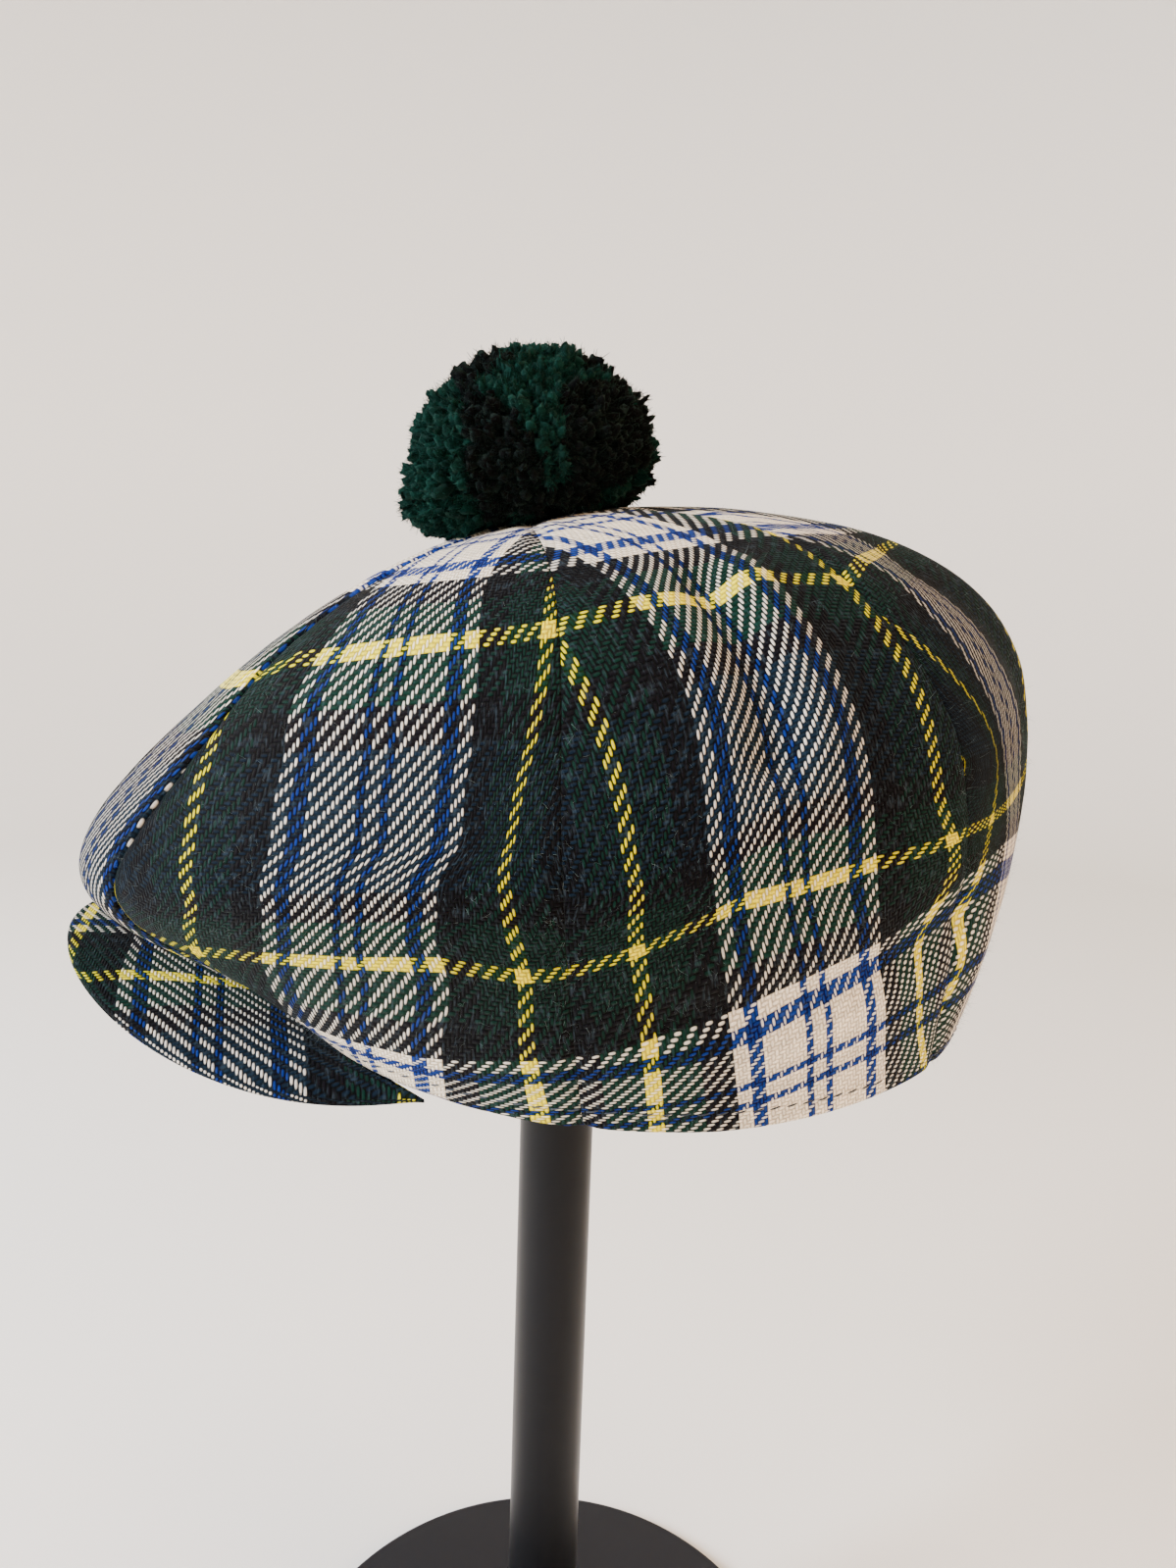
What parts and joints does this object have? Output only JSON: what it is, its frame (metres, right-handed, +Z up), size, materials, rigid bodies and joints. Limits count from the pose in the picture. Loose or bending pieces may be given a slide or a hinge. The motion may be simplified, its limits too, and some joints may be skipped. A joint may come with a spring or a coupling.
{
  "type": "tartan tam o'shanter cap on a hat stand",
  "caption": "Tartan wool tam o'shanter cap with a panelled crown, a short peak and a green and black yarn pompom, on a black pole stand",
  "frame": {"origin": "centre of the underside of the stand's round base, on the pole's axis", "axes": "+Z up, -Y is the cap's front, +X is the wearer's left"},
  "size_m": [0.214, 0.2705, 0.4369],
  "materials": {
    "tartan_wool": "matte",
    "pompom_yarn": "matte",
    "stand_metal": "satin"
  },
  "bodies": {
    "root": {"panel_front": "tartan_wool", "panel_left_front": "tartan_wool", "panel_left_back": "tartan_wool", "panel_back": "tartan_wool", "panel_right_back": "tartan_wool", "panel_right_front": "tartan_wool", "peak": "tartan_wool", "pompom": "pompom_yarn", "stand_base": "stand_metal", "stand_pole": "stand_metal", "stand_head": "stand_metal"}
  },
  "joints": []
}
